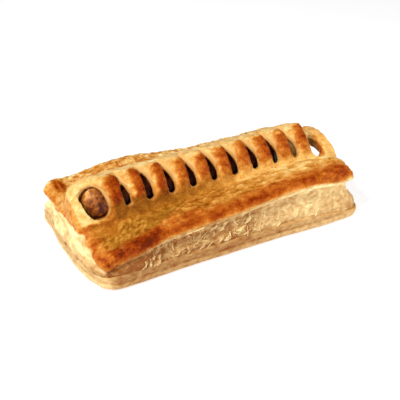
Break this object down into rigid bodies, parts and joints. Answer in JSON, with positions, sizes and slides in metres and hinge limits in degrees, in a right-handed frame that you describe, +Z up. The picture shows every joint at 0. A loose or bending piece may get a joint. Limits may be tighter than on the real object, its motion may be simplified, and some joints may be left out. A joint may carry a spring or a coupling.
{
  "type": "sausage roll",
  "caption": "Sausage roll of puff pastry: a slashed ridge over a whole sausage, flat crimped sides, a wide window at one end and an open loop at the other.",
  "frame": {"origin": "middle of the bounding box's footprint, on the flat underside", "axes": "+X along the roll towards the end with the low loop, +Y towards the back (the uncut side of the ridge), +Z up"},
  "size_m": [0.1626, 0.0874, 0.0418],
  "materials": {
    "pastry_base": "baked pastry edge, matte, golden",
    "pastry_lid": "egg-glazed baked pastry, golden to dark brown on top, pale and flaky at the sides",
    "sausage": "cooked sausage skin, reddish brown, slightly greasy"
  },
  "bodies": {
    "root": {"pastry_base": "pastry_base", "pastry_lid": "pastry_lid", "sausage": "sausage"}
  },
  "joints": []
}
